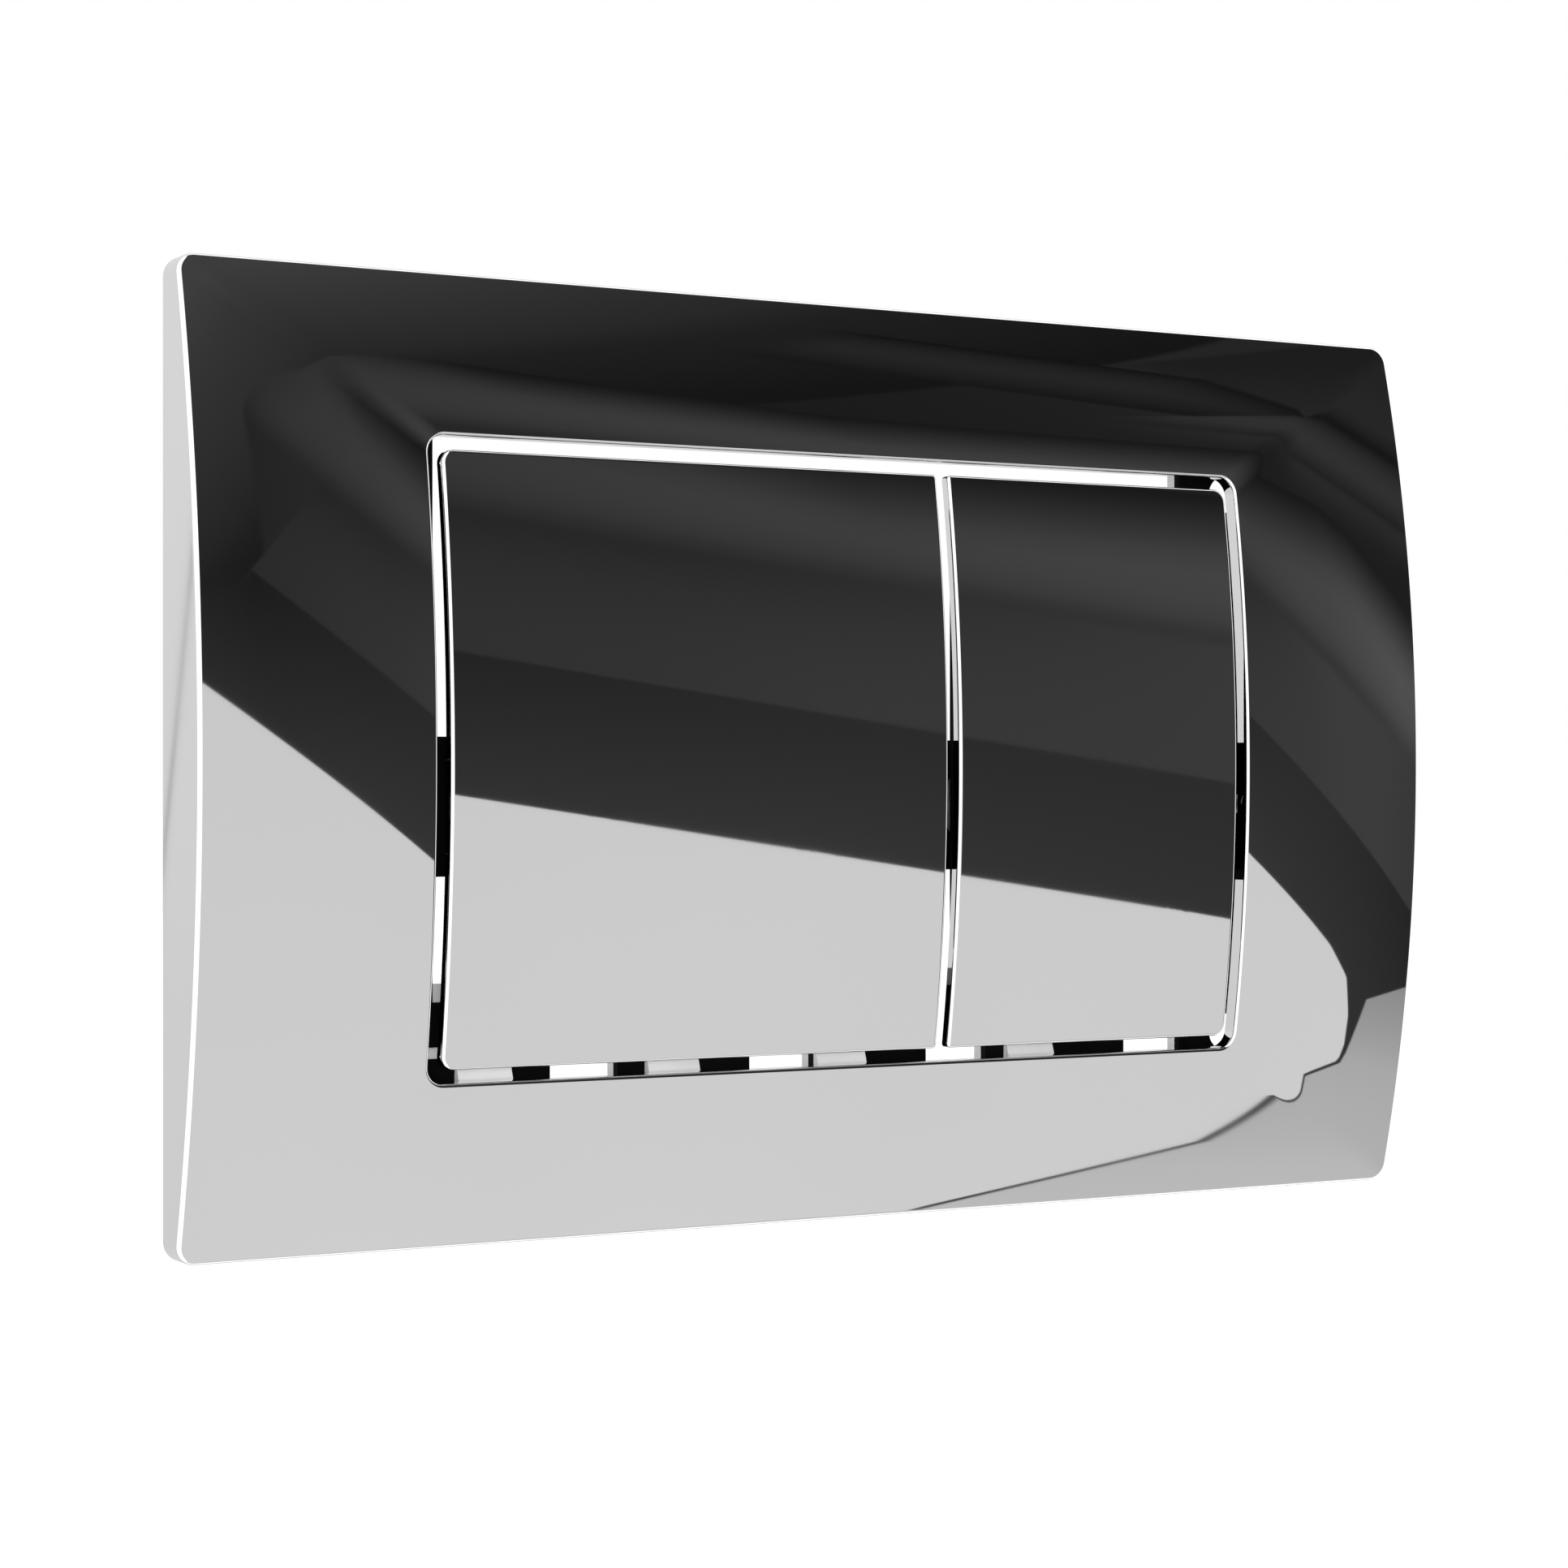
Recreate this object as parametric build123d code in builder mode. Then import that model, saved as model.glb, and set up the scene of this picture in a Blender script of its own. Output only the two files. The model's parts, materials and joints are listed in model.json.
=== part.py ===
from build123d import *
import math
import os

# Dual flush button plate for a concealed cistern, in millimetres.
# Seen from the front: X runs to the right, Z up, and the front faces -Y.
# The origin is the middle of the plate on the wall plane (y = 0); what lies at +Y sits in the wall opening.

# Cover
cover_width = 246.0
cover_height = 161.2
cover_mid_depth = 15.8
cover_edge_depth = 5.6
cover_wall = 2.2
cover_corner_radius = 3.4
cover_edge_radius = 0.8
rim_depth = 3.0
rim_width = 2.0
rim_edge_radius = 0.55
cover_rib_thickness = 1.2
cover_rib_height = 2.5
flank_rib_shares = (0.38, 0.79)
flank_rib_end_gap = 8.6
rail_rib_shares = (0.21, 0.81)
rail_rib_end_gap = 28.0
skin_bite = 0.4
cut_margin = 1.0

# Buttons
button_block_width = 159.4
button_block_height = 101.6
full_button_share = 0.6104
button_gap = 2.3
button_thickness = 2.0
button_edge_radius = 0.65
button_corner_radius = 2.4
button_split_radius = 0.8
button_rib_thickness = 1.2
button_rib_height = 1.2
button_rib_length = 76.0
button_rib_pitch = 13.0

# Hinge and travel: the buttons turn about a pin behind their top edge
hinge_height = 42.0
hinge_depth = 5.0
press_travel = 7.0
pin_radius = 1.5
pin_running_gap = 0.05
pin_head_radius = 2.3
pin_head_length = 0.8
pin_chamfer = 0.3
barrel_radius = 2.6
lug_radius = 2.5
ear_width = 4.0
lug_width = 4.0
ear_lug_gap = 0.6
knuckle_height = 4.4
full_first_ear = 6.4
half_first_ear = 4.2
ear_end_inset = 3.0

# Rockers
rocker_depth = 8.0
rocker_thickness = 1.6
rocker_inset = 3.4
rocker_top = 46.5
rocker_bottom = -34.0
rocker_corner_radius = 2.0
rocker_rib_height = 0.8
rocker_rib_thickness = 1.4
rocker_window_top = 35.0
rocker_window_bottom = 2.0
rocker_window_gap = 1.5
rocker_web_share = 0.15
rod_pad_radius = 4.5
rod_pad_height = 0.8
rod_pad_gap = 0.3
stop_hook_width = 6.0
stop_hook_thickness = 2.0
stop_hook_gap = 0.8
stop_hook_catch = 2.6
stop_hook_clearance = 0.3
full_hook_inset = 22.7

# Screws that hold the buttons on their rockers
button_screw_inset = 14.0
button_screw_heights = (31.0, -28.0)
button_screw_radius = 1.2
button_screw_length = 5.0
button_screw_head_radius = 2.3
button_screw_head_height = 1.5
button_boss_radius = 2.8
pilot_gap = 0.05
screw_hole_gap = 0.2

# Button carrier, the dark frame behind the buttons
carrier_seat = 0.2
carrier_thickness = 1.5
carrier_cover_gap = 0.6
carrier_corner_radius = 2.0
beam_top = 3.9
beam_bottom = -19.4
window_half_width = 76.7
window_top = 57.0
window_bottom = -40.4
notch_bottom = -58.0
notch_width = 12.8
notch_centres = (-48.6, -9.8, 26.7, 70.3)
post_width = 8.0
rib_thickness = 1.4
post_rib_height = 2.4
beam_top_rib_height = 2.0
beam_bottom_rib_height = 0.6
corner_hole_x = 87.2
corner_hole_z = 50.8
corner_hole_radius = 3.5
slot_width = 6.0
slot_height = 2.0
slot_x = 89.6
slot_z = 48.8
left_slot_x = -75.5
side_window_share = 0.56
side_window_height = 34.0
side_column_share = 0.4
side_window_radius = 2.0

# Buffer pads on the bottom rail
pad_centres = (-67.7, -31.9, 1.8, 42.1)
pad_width = 10.0
pad_top = -49.0
pad_bottom = -57.2
pad_top_height = 0.2
pad_slope = 0.33
pad_stem_radius = 1.5
pad_stem_gap = 0.05

# Mounting frame, the light grey frame fixed to the cistern
frame_width = 196.0
frame_height = 128.0
frame_thickness = 2.2
frame_corner_radius = 6.0
frame_lip = 3.0
frame_beam_lip = 3.9
frame_flange_depth = 6.0
frame_flange_thickness = 1.8
frame_corner_hole_radius = 5.0
ear_plate_overlap = 3.5
ear_plate_wall_gap = 11.0
ear_plate_height = 12.0
ear_plate_z = 30.0
ear_plate_gap = 0.5
snap_x = 50.0
snap_z = 60.5
snap_width = 8.0
snap_thickness = 1.6
snap_catch = 1.2
snap_catch_length = 1.8
snap_gap = 0.2
snap_slot_margin = 0.3

# Fixing studs with their nuts and washers
stud_radius = 3.0
stud_neck_radius = 2.5
stud_side_gap = 7.6
stud_front = 8.6
stud_back = 62.0
stud_chamfer = 0.6
stud_gap = 0.2
stud_boss_radius = 7.0
stud_boss_depth = 8.0
washer_radius = 7.8
washer_thickness = 1.2
washer_hole_gap = 0.4
nut_across_flats = 12.0
nut_height = 6.0

# Push rods, their heads, lock nuts and guides
rod_x = 32.0
rod_radius = 3.0
rod_back = 70.0
rod_chamfer = 0.8
rod_tip_radius = 2.4
rod_tip_length = 12.0
rod_head_radius = 6.0
rod_head_chamfer = 0.4
rod_head_height = 2.7
rod_socket_depth = 1.5
rod_thread_gap = 0.05
lock_nut_across_flats = 10.0
lock_nut_height = 3.0
guide_running_gap = 0.3
guide_wall = 2.2
guide_flange_radius = 7.5
guide_flange_thickness = 1.5
guide_seat_depth = 5.6
guide_seat_gap = 0.1
guide_tail = 1.0
tower_wall = 1.8
tower_depth = 16.0
rod_hole_radius = 8.2

# Return springs between the beam and the rockers
spring_radius = 2.9
spring_wire = 0.5
spring_turns = 4.0
spring_seat_gap = 0.05
spring_spigot_radius = 2.0
spring_spigot_height = 1.0
rocker_spigot_height = 0.6
full_spring_inset = 20.0
half_spring_insets = (28.7, 9.7)

# Screws that hold the carrier in the cover
carrier_screw_radius = 1.4
carrier_screw_head_radius = 2.7
carrier_screw_length = 6.0
carrier_screw_end_inset = 24.6
carrier_screw_rail_share = 0.28
carrier_pad_radius = 4.0
carrier_pad_height = 1.4
cover_boss_radius = 3.2
cover_pilot_depth = 6.5

# Worked out from the sizes above
bow_rise = cover_mid_depth - cover_edge_depth
bow_radius = ((cover_height / 2) ** 2 + bow_rise**2) / (2 * bow_rise)
opening_width = button_block_width + 2 * button_gap
opening_height = button_block_height + 2 * button_gap
opening_corner_radius = button_corner_radius + button_edge_radius
flank_start = opening_width / 2 + rim_width
flank_end = cover_width / 2 - cover_wall
rail_start = opening_height / 2 + rim_width
rail_end = cover_height / 2 - cover_wall
flank_rib_places = [flank_start + share * (flank_end - flank_start) for share in flank_rib_shares]
rail_rib_places = [rail_start + share * (rail_end - rail_start) for share in rail_rib_shares]
flank_rib_length = cover_height - 2 * flank_rib_end_gap
rail_rib_length = cover_width - 2 * rail_rib_end_gap
side_column_width = (cover_width - frame_width) / 2
side_column_x = frame_width / 2 + side_column_share * side_column_width
side_window_width = side_window_share * side_column_width
ear_plate_inner = frame_width / 2 - ear_plate_overlap
ear_plate_outer = cover_width / 2 - ear_plate_wall_gap
full_button_width = full_button_share * (button_block_width - button_gap)
stud_spacing = button_block_width + 2 * stud_side_gap
full_left = -button_block_width / 2
full_right = full_left + full_button_width
half_left = full_right + button_gap
half_right = button_block_width / 2
rod_z = (beam_top + beam_bottom) / 2
carrier_front = carrier_seat + carrier_thickness
frame_back = frame_thickness - carrier_seat
frame_beam_top = beam_top - frame_beam_lip
frame_beam_bottom = beam_bottom + frame_beam_lip
frame_window_bottom = window_bottom + frame_lip
stud_places = [(-stud_spacing / 2, rod_z), (stud_spacing / 2, rod_z)]
rod_places = [(-rod_x, rod_z), (rod_x, rod_z)]
rod_front = rocker_depth - rod_pad_height - rod_pad_gap
guide_bore_radius = rod_radius + guide_running_gap
guide_radius = guide_bore_radius + guide_wall
guide_seat_radius = guide_flange_radius + 2 * guide_seat_gap
tower_radius = guide_seat_radius + tower_wall
press_angle = math.degrees(math.asin(press_travel / (hinge_height + button_block_height / 2)))
side_screw_z = cover_height / 2 - carrier_screw_end_inset
rail_screw_z = frame_height / 2 + carrier_screw_rail_share * (rail_end - frame_height / 2)
carrier_screw_places = [(side * side_column_x, end * side_screw_z) for side in (-1, 1) for end in (-1, 1)]
carrier_screw_places += [(0.0, -rail_screw_z), (0.0, rail_screw_z)]


def bow_depth(height, inset=0.0):
    """Distance from the wall to the bowed surface set in by inset, at a height above the middle."""
    radius = bow_radius - inset
    return cover_mid_depth - inset - (radius - math.sqrt(radius**2 - height**2))


def level(depth):
    """Plane parallel to the wall, depth in front of it, facing the front."""
    return Plane.XZ.offset(depth)


def from_back(x, z, depth):
    """Place on the plane at depth in front of the wall, seen from the back, to drill towards the front."""
    return Plane(origin=(x, -depth, z), x_dir=(1, 0, 0), z_dir=(0, 1, 0))


def bowed_band(left, right, half_height, front_inset, back_inset):
    """Solid between two copies of the bow, from x = left to x = right."""
    front = bow_depth(half_height, front_inset)
    back = bow_depth(half_height, back_inset)
    with BuildSketch(Plane.YZ.offset(left)) as profile:
        with BuildLine():
            ThreePointArc(
                (-front, half_height), (-bow_depth(0, front_inset), 0), (-front, -half_height)
            )
            Line((-front, -half_height), (-back, -half_height))
            ThreePointArc((-back, -half_height), (-bow_depth(0, back_inset), 0), (-back, half_height))
            Line((-back, half_height), (-front, half_height))
        make_face()
    extrude(profile.sketch, amount=right - left)


def bowed_block(half_width, half_height, inset, back, mode=Mode.ADD):
    """Solid from the plane y = back to the bow set in by inset, centred on X and Z."""
    front = bow_depth(half_height, inset)
    with BuildSketch(Plane.YZ) as profile:
        with BuildLine():
            ThreePointArc((-front, half_height), (-bow_depth(0, inset), 0), (-front, -half_height))
            Line((-front, -half_height), (back, -half_height))
            Line((back, -half_height), (back, half_height))
            Line((back, half_height), (-front, half_height))
        make_face()
    extrude(profile.sketch, amount=half_width, both=True, mode=mode)


def slab(x_range, z_range, depth, height, mode=Mode.ADD):
    """Rectangular block on the plane at depth, standing height towards the front."""
    with BuildSketch(level(depth)) as outline:
        with Locations(((x_range[0] + x_range[1]) / 2, (z_range[0] + z_range[1]) / 2)):
            Rectangle(x_range[1] - x_range[0], z_range[1] - z_range[0])
    extrude(outline.sketch, amount=height, mode=mode)


def discs(places, radius, depth, height, mode=Mode.ADD):
    """Round posts on the plane at depth, standing height towards the front."""
    with BuildSketch(level(depth)) as outline:
        with Locations(*places):
            Circle(radius)
    extrude(outline.sketch, amount=height, mode=mode)


def knuckle(left, width, radius, back_depth, bore_radius):
    """Hinge knuckle round the pin, with a web down to the plane at back_depth."""
    with BuildSketch(Plane.YZ.offset(left)) as outline:
        with Locations((-hinge_depth, hinge_height)):
            Circle(radius)
        with Locations((-(hinge_depth + back_depth) / 2, hinge_height)):
            Rectangle(abs(hinge_depth - back_depth), knuckle_height)
    extrude(outline.sketch, amount=width)
    with BuildSketch(Plane.YZ.offset(left)) as bore:
        with Locations((-hinge_depth, hinge_height)):
            Circle(bore_radius)
    extrude(bore.sketch, amount=width, mode=Mode.SUBTRACT)


def rocker_span(left, right):
    """Left and right edges of the rocker under a button."""
    return left + rocker_inset, right - rocker_inset


def knuckle_places(left, right, near_left):
    """Left edges of the ears and lugs at both ends; near_left is how far the first ear stands in."""
    start, end = rocker_span(left, right)
    first_ear = start + near_left
    first_lug = first_ear + ear_width + ear_lug_gap
    last_ear = end - ear_end_inset - ear_width
    last_lug = last_ear - ear_lug_gap - lug_width
    return (first_ear, last_ear), (first_lug, last_lug)


full_ears, full_lugs = knuckle_places(full_left, full_right, full_first_ear)
half_ears, half_lugs = knuckle_places(half_left, half_right, half_first_ear)
full_springs = [(full_left + full_spring_inset, rod_z), (full_right - full_spring_inset, rod_z)]
half_springs = [(half_right - inset, rod_z) for inset in half_spring_insets]


def save(part, name):
    """Label a finished piece and write it."""
    part.label = name
    export_step(part, f"parts/{name}.step")


os.makedirs("parts", exist_ok=True)

# Cover plate: one bowed shell, open at the back, with a rim round the opening, ribs and screw bosses
with BuildPart() as cover_plate:
    bowed_block(cover_width / 2, cover_height / 2, 0, 0)
    fillet(cover_plate.edges().filter_by(Axis.Y), radius=cover_corner_radius)
    cover_front = cover_plate.faces().filter_by(GeomType.CYLINDER).sort_by(SortBy.AREA)[-1]
    fillet(cover_front.edges(), radius=cover_edge_radius)
    bowed_block(
        cover_width / 2 - cover_wall,
        cover_height / 2 - cover_wall,
        cover_wall,
        cut_margin,
        mode=Mode.SUBTRACT,
    )
    bowed_band(
        -opening_width / 2 - rim_width,
        opening_width / 2 + rim_width,
        opening_height / 2 + rim_width,
        cover_wall - skin_bite,
        rim_depth,
    )
    for side in (-1, 1):
        for place in flank_rib_places:
            bowed_band(
                side * place - cover_rib_thickness / 2,
                side * place + cover_rib_thickness / 2,
                flank_rib_length / 2,
                cover_wall - skin_bite,
                cover_wall + cover_rib_height,
            )
        for place in rail_rib_places:
            inner = bow_depth(place, cover_wall)
            slab(
                (-rail_rib_length / 2, rail_rib_length / 2),
                (side * place - cover_rib_thickness / 2, side * place + cover_rib_thickness / 2),
                inner - cover_rib_height,
                cover_rib_height + skin_bite,
            )
    for x, z in carrier_screw_places:
        seat = carrier_front + carrier_pad_height
        discs([(x, z)], cover_boss_radius, seat, bow_depth(z, cover_wall) + skin_bite - seat)
        discs(
            [(x, z)], carrier_screw_radius + pilot_gap, seat, cover_pilot_depth - seat, mode=Mode.SUBTRACT
        )
    with BuildSketch(Plane.XZ):
        RectangleRounded(opening_width, opening_height, opening_corner_radius)
    extrude(amount=cover_mid_depth + cut_margin, mode=Mode.SUBTRACT)
    outer_front = cover_plate.faces().filter_by(GeomType.CYLINDER).sort_by(SortBy.AREA)[-1]
    fillet(outer_front.inner_wires()[0].edges(), radius=rim_edge_radius)
save(cover_plate.part, "cover_plate")


def make_button(name, left, right, outer_side, screws):
    """Bowed button plate with back ribs and screw bosses; outer_side tells which end meets the cover."""
    with BuildPart() as button:
        bowed_band(left, right, button_block_height / 2, 0, button_thickness)
        outer, split = (0, -1) if outer_side < 0 else (-1, 0)
        fillet(button.edges().filter_by(Axis.Y).group_by(Axis.X)[outer], radius=button_corner_radius)
        fillet(button.edges().filter_by(Axis.Y).group_by(Axis.X)[split], radius=button_split_radius)
        front = button.faces().filter_by(GeomType.CYLINDER).sort_by(SortBy.AREA)[-1]
        fillet(front.edges(), radius=button_edge_radius)
        rib_count = int((right - left - 2 * rocker_inset) / button_rib_pitch)
        middle = (left + right) / 2
        for i in range(rib_count):
            place = middle + (i - (rib_count - 1) / 2) * button_rib_pitch
            bowed_band(
                place - button_rib_thickness / 2,
                place + button_rib_thickness / 2,
                button_rib_length / 2,
                button_thickness - skin_bite,
                button_thickness + button_rib_height,
            )
        seat = rocker_depth + rocker_thickness
        tip = rocker_depth + button_screw_length + pilot_gap
        for x, z in screws:
            discs([(x, z)], button_boss_radius, seat, bow_depth(z, button_thickness) + skin_bite - seat)
            discs([(x, z)], button_screw_radius + pilot_gap, seat, tip - seat, mode=Mode.SUBTRACT)
    save(button.part, name)


def screw_places(left, right):
    """Four screws in the corners of a button."""
    edges = (left + button_screw_inset, right - button_screw_inset)
    return [(x, z) for x in edges for z in button_screw_heights]


full_screws = screw_places(full_left, full_right)
half_screws = screw_places(half_left, half_right)
make_button("full_flush_button", full_left, full_right, -1, full_screws)
make_button("half_flush_button", half_left, half_right, 1, half_screws)


def make_rocker(name, left, right, ears, rod_place, screws, springs, hooks):
    """Hinged plate under a button, with its ears, rod pad, spring spigots and stop hooks."""
    start, end = rocker_span(left, right)
    with BuildPart() as rocker:
        with BuildSketch(level(rocker_depth)):
            with Locations(((start + end) / 2, (rocker_top + rocker_bottom) / 2)):
                RectangleRounded(end - start, rocker_top - rocker_bottom, rocker_corner_radius)
            margin = button_screw_inset - rocker_inset + button_screw_head_radius + rocker_window_gap
            window_width = end - start - 2 * margin
            pane = window_width * (1 - rocker_web_share) / 2
            pane_z = (rocker_window_top + rocker_window_bottom) / 2
            for side in (-1, 1):
                with Locations(((start + end) / 2 + side * (window_width - pane) / 2, pane_z)):
                    RectangleRounded(
                        pane,
                        rocker_window_top - rocker_window_bottom,
                        rocker_corner_radius,
                        mode=Mode.SUBTRACT,
                    )
            with Locations(*screws):
                Circle(button_screw_radius + screw_hole_gap, mode=Mode.SUBTRACT)
        extrude(amount=rocker_thickness)
        for edge in (start, end - rocker_rib_thickness):
            slab(
                (edge, edge + rocker_rib_thickness),
                (rocker_bottom + rocker_corner_radius, hinge_height - 2 * barrel_radius),
                rocker_depth - rocker_rib_height,
                rocker_rib_height + skin_bite,
            )
        for ear in ears:
            knuckle(ear, ear_width, barrel_radius, rocker_depth + skin_bite, pin_radius + pin_running_gap)
        discs(springs, spring_spigot_radius, rocker_depth - rocker_spigot_height, rocker_spigot_height)
        with BuildSketch(Plane.XY.offset(rod_place[1])):
            with BuildLine():
                Line((rod_place[0], -rocker_depth), (rod_place[0], -rocker_depth + rod_pad_height))
                RadiusArc(
                    (rod_place[0], -rocker_depth + rod_pad_height),
                    (rod_place[0] + rod_pad_radius, -rocker_depth),
                    (rod_pad_radius**2 + rod_pad_height**2) / (2 * rod_pad_height),
                )
                Line((rod_place[0] + rod_pad_radius, -rocker_depth), (rod_place[0], -rocker_depth))
            make_face()
        revolve(axis=Axis((rod_place[0], 0, rod_place[1]), (0, 1, 0)))
        hook_top = beam_bottom - stop_hook_gap
        catch_depth = carrier_seat - stop_hook_clearance
        for x in hooks:
            span = (x - stop_hook_width / 2, x + stop_hook_width / 2)
            reach = catch_depth - stop_hook_thickness
            slab(span, (hook_top - stop_hook_thickness, hook_top), reach, rocker_depth - reach)
            slab(
                span,
                (hook_top - stop_hook_thickness, hook_top + stop_hook_catch),
                reach,
                stop_hook_thickness,
            )
    save(rocker.part, name)


full_hooks = (full_left + full_hook_inset, full_right - full_hook_inset)
half_hooks = [half_right - inset for inset in half_spring_insets]
make_rocker(
    "full_flush_rocker",
    full_left,
    full_right,
    full_ears,
    rod_places[0],
    full_screws,
    full_springs,
    full_hooks,
)
make_rocker(
    "half_flush_rocker",
    half_left,
    half_right,
    half_ears,
    rod_places[1],
    half_screws,
    half_springs,
    half_hooks,
)


def make_hinge_pin(name, ears):
    """Steel pin through the ears and lugs, with a small head at its left end."""
    start = ears[0] - ear_lug_gap
    end = ears[1] + ear_width + ear_lug_gap
    with BuildPart() as pin:
        with BuildSketch(Plane.YZ.offset(start)):
            with Locations((-hinge_depth, hinge_height)):
                Circle(pin_radius)
        extrude(amount=end - start)
        tail = pin.faces().sort_by(Axis.X)[-1]
        chamfer(tail.edges(), length=pin_chamfer)
        with BuildSketch(Plane.YZ.offset(start)):
            with Locations((-hinge_depth, hinge_height)):
                Circle(pin_head_radius)
        extrude(amount=-pin_head_length)
    save(pin.part, name)


make_hinge_pin("full_hinge_pin", full_ears)
make_hinge_pin("half_hinge_pin", half_ears)

# Button carrier: flat frame with a beam, hinge posts with lugs, spring spigots and screw pads
carrier_width = cover_width - 2 * (cover_wall + carrier_cover_gap)
carrier_height = cover_height - 2 * (cover_wall + carrier_cover_gap)
slot_places = [(left_slot_x, -slot_z)]
slot_places += [(side * slot_x, level_sign * slot_z) for side in (-1, 1) for level_sign in (-1, 1)]
corner_places = [(side * corner_hole_x, end * corner_hole_z) for side in (-1, 1) for end in (-1, 1)]
snap_places = [(side * snap_x, end * snap_z) for side in (-1, 1) for end in (-1, 1)]
ear_places = [(side, end) for side in (-1, 1) for end in (-1, 1)]


def window_cuts(beam_low, beam_high, low):
    """Cut the two windows and the comb notches of the bottom rail in the open sketch."""
    with Locations((0, (window_top + beam_high) / 2)):
        Rectangle(2 * window_half_width, window_top - beam_high, mode=Mode.SUBTRACT)
    with Locations((0, (beam_low + low) / 2)):
        Rectangle(2 * window_half_width, beam_low - low, mode=Mode.SUBTRACT)
    with Locations(*[(x, (low + notch_bottom) / 2) for x in notch_centres]):
        Rectangle(notch_width, low - notch_bottom, mode=Mode.SUBTRACT)


with BuildPart() as button_carrier:
    with BuildSketch(level(carrier_seat)):
        RectangleRounded(carrier_width, carrier_height, carrier_corner_radius)
        window_cuts(beam_bottom, beam_top, window_bottom)
        for lug in full_lugs + half_lugs:
            post_top = hinge_height + knuckle_height
            with Locations((lug + lug_width / 2, (beam_top + post_top) / 2)):
                Rectangle(post_width, post_top - beam_top)
        with Locations(*rod_places):
            Circle(rod_hole_radius, mode=Mode.SUBTRACT)
        with Locations(*stud_places):
            Circle(washer_radius + washer_hole_gap, mode=Mode.SUBTRACT)
        with Locations(*corner_places):
            Circle(corner_hole_radius, mode=Mode.SUBTRACT)
        with Locations(*slot_places):
            Rectangle(slot_width, slot_height, mode=Mode.SUBTRACT)
        with Locations((-side_column_x, 0), (side_column_x, 0)):
            RectangleRounded(
                side_window_width, side_window_height, side_window_radius, mode=Mode.SUBTRACT
            )
        for side, end in ear_places:
            ear_middle = (ear_plate_inner + ear_plate_outer) / 2
            with Locations((side * ear_middle, end * ear_plate_z)):
                Rectangle(
                    ear_plate_outer - ear_plate_inner + 2 * ear_plate_gap,
                    ear_plate_height + 2 * ear_plate_gap,
                    mode=Mode.SUBTRACT,
                )
        with Locations(*snap_places):
            Rectangle(
                snap_width + 2 * snap_slot_margin, snap_thickness + 2 * snap_slot_margin, mode=Mode.SUBTRACT
            )
        with Locations(*[(x, (pad_top + pad_bottom) / 2) for x in pad_centres]):
            Circle(pad_stem_radius + pad_stem_gap, mode=Mode.SUBTRACT)
    extrude(amount=carrier_thickness)
    for lug in full_lugs + half_lugs:
        knuckle(lug, lug_width, lug_radius, carrier_front - skin_bite, pin_radius)
        slab(
            (lug + lug_width / 2 - rib_thickness / 2, lug + lug_width / 2 + rib_thickness / 2),
            (beam_top - rib_thickness, hinge_height - knuckle_height / 2),
            carrier_front - skin_bite,
            post_rib_height + skin_bite,
        )
    slab(
        (-window_half_width, window_half_width),
        (beam_top - rib_thickness, beam_top),
        carrier_front - skin_bite,
        beam_top_rib_height + skin_bite,
    )
    slab(
        (-window_half_width, window_half_width),
        (beam_bottom, beam_bottom + rib_thickness),
        carrier_front - skin_bite,
        beam_bottom_rib_height + skin_bite,
    )
    discs(full_springs + half_springs, spring_spigot_radius, carrier_front, spring_spigot_height)
    pad_base = carrier_front - skin_bite
    discs(carrier_screw_places, carrier_pad_radius, pad_base, carrier_pad_height + skin_bite)
    with Locations(*[from_back(x, z, carrier_seat) for x, z in carrier_screw_places]):
        CounterSinkHole(
            radius=carrier_screw_radius + screw_hole_gap,
            counter_sink_radius=carrier_screw_head_radius + pilot_gap,
            depth=carrier_thickness + carrier_pad_height,
            counter_sink_angle=90,
        )
save(button_carrier.part, "button_carrier")

# Buffer pads: sloping soft blocks on the bottom rail, each with a stem through the carrier
with BuildPart() as buffer_pads:
    pad_low_height = pad_top_height + pad_slope * (pad_top - pad_bottom)
    for x in pad_centres:
        with BuildSketch(Plane.YZ.offset(x - pad_width / 2)):
            with BuildLine():
                Polyline(
                    (-carrier_front, pad_top),
                    (-carrier_front - pad_top_height, pad_top),
                    (-carrier_front - pad_low_height, pad_bottom),
                    (-carrier_front, pad_bottom),
                    close=True,
                )
            make_face()
        extrude(amount=pad_width)
    discs(
        [(x, (pad_top + pad_bottom) / 2) for x in pad_centres],
        pad_stem_radius,
        carrier_seat,
        carrier_thickness + pad_top_height,
    )
save(buffer_pads.part, "buffer_pads")

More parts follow.
